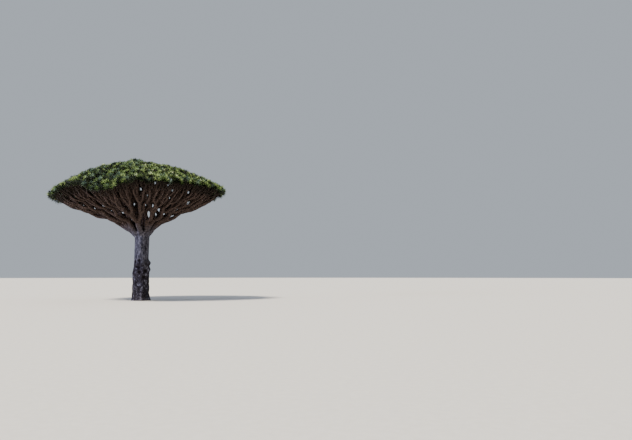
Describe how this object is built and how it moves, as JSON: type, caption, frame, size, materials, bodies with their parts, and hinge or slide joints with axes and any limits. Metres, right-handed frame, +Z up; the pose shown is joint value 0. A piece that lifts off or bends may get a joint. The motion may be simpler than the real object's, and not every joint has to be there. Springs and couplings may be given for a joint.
{
  "type": "dragon blood tree",
  "caption": "Dragon blood tree with one stout grey trunk, a head of forking boughs and a wide, flat umbrella crown of stiff leaf rosettes.",
  "frame": {"origin": "The middle of the trunk's flat foot, at ground level", "axes": "+Z up along the trunk, +X to the right and +Y away as the picture sees the tree"},
  "size_m": [9.4018, 9.1435, 7.8751],
  "materials": {
    "bark": "Grey bark, smooth and faintly streaked above, rough and blotched near the foot",
    "bough_bark": "Brown-grey ringed bark of the boughs and branches",
    "leaves": "Stiff sword-shaped green leaves in rosettes, satin"
  },
  "bodies": {
    "root": {"trunk": "bark", "bough_1": "bough_bark", "bough_2": "bough_bark", "bough_3": "bough_bark", "bough_4": "bough_bark", "bough_5": "bough_bark", "bough_6": "bough_bark", "bough_7": "bough_bark", "bough_8": "bough_bark", "bough_9": "bough_bark", "branch_1": "bough_bark", "branch_2": "bough_bark", "branch_3": "bough_bark", "branch_4": "bough_bark", "branch_5": "bough_bark", "branch_6": "bough_bark", "branch_7": "bough_bark", "branch_8": "bough_bark", "branch_9": "bough_bark", "branch_10": "bough_bark", "branch_11": "bough_bark", "branch_12": "bough_bark", "branch_13": "bough_bark", "branch_14": "bough_bark", "branch_15": "bough_bark", "branch_16": "bough_bark", "branch_17": "bough_bark", "branch_18": "bough_bark", "branch_19": "bough_bark", "foliage_1": "leaves", "foliage_2": "leaves", "foliage_3": "leaves", "foliage_4": "leaves", "foliage_5": "leaves", "foliage_6": "leaves", "foliage_7": "leaves", "foliage_8": "leaves", "foliage_9": "leaves", "foliage_10": "leaves", "foliage_11": "leaves", "foliage_12": "leaves", "foliage_13": "leaves", "foliage_14": "leaves", "foliage_15": "leaves", "foliage_16": "leaves", "foliage_17": "leaves", "foliage_18": "leaves", "foliage_19": "leaves"}
  },
  "joints": []
}
